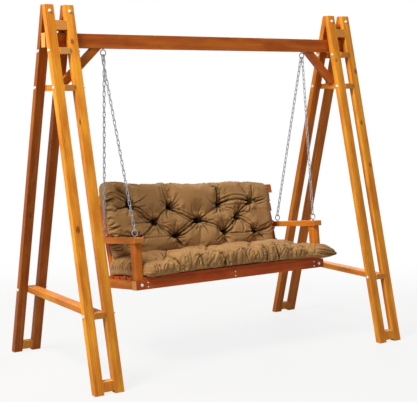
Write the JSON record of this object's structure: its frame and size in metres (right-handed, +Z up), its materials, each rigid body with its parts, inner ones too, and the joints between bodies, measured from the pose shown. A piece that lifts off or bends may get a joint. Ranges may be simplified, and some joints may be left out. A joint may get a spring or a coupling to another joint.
{
  "type": "garden swing bench",
  "caption": "Free-standing timber swing: double-stile A-frames carry a beam, and a slatted bench with tufted cushions hangs from rings on chains.",
  "frame": {"origin": "on the ground, midway between the four pairs of feet, under the middle of the beam", "axes": "+X along the beam to the right of someone facing the bench, +Y to the rear, +Z up"},
  "size_m": [2.17, 1.106, 2.05],
  "materials": {
    "stile_wood": "oiled honey-coloured softwood",
    "tie_wood": "oiled softwood, pale end grain",
    "beam_wood": "stained reddish brown softwood",
    "rail_wood": "stained reddish brown softwood",
    "arm_wood": "oiled honey-coloured softwood",
    "back_wood": "stained reddish brown softwood",
    "steel": "galvanised",
    "chain_steel": "galvanised",
    "cushion_cloth": "woven brown cotton"
  },
  "bodies": {
    "stand": {"stile_left_front_outer": "stile_wood", "stile_left_front_inner": "stile_wood", "foot_block_left_front": "tie_wood", "stile_left_rear_outer": "stile_wood", "stile_left_rear_inner": "stile_wood", "foot_block_left_rear": "tie_wood", "top_block_left": "tie_wood", "beam_bearer_left": "tie_wood", "brace_tie_left": "tie_wood", "low_tie_left": "tie_wood", "knee_brace_left": "beam_wood", "stile_right_front_outer": "stile_wood", "stile_right_front_inner": "stile_wood", "foot_block_right_front": "tie_wood", "stile_right_rear_outer": "stile_wood", "stile_right_rear_inner": "stile_wood", "foot_block_right_rear": "tie_wood", "top_block_right": "tie_wood", "beam_bearer_right": "tie_wood", "brace_tie_right": "tie_wood", "low_tie_right": "tie_wood", "knee_brace_right": "beam_wood", "beam": "beam_wood", "beam_eye_left": "steel", "beam_eye_right": "steel"},
    "swing_seat": {"front_rail": "rail_wood", "rear_rail": "rail_wood", "seat_bearer_1": "rail_wood", "seat_bearer_2": "rail_wood", "seat_bearer_3": "rail_wood", "seat_slat_1": "rail_wood", "seat_slat_2": "rail_wood", "seat_slat_3": "rail_wood", "seat_slat_4": "rail_wood", "seat_slat_5": "rail_wood", "side_rail_left": "rail_wood", "arm_post_left": "arm_wood", "armrest_left": "arm_wood", "back_post_left": "back_wood", "arm_eye_left_front": "steel", "chain_left_front": "chain_steel", "arm_eye_left_rear": "steel", "chain_left_rear": "chain_steel", "side_rail_right": "rail_wood", "arm_post_right": "arm_wood", "armrest_right": "arm_wood", "back_post_right": "back_wood", "arm_eye_right_front": "steel", "chain_right_front": "chain_steel", "arm_eye_right_rear": "steel", "chain_right_rear": "chain_steel", "back_stile_middle": "back_wood", "back_slat_1": "back_wood", "back_slat_2": "back_wood", "back_slat_3": "back_wood", "back_slat_4": "back_wood", "seat_cushion": "cushion_cloth", "back_cushion": "cushion_cloth"}
  },
  "joints": [
    {"name": "swing", "type": "hinge", "parent": "stand", "child": "swing_seat", "pos_m": [0, 0, 1.775], "axis": [1, 0, 0], "range_deg": [-30, 30]}
  ]
}
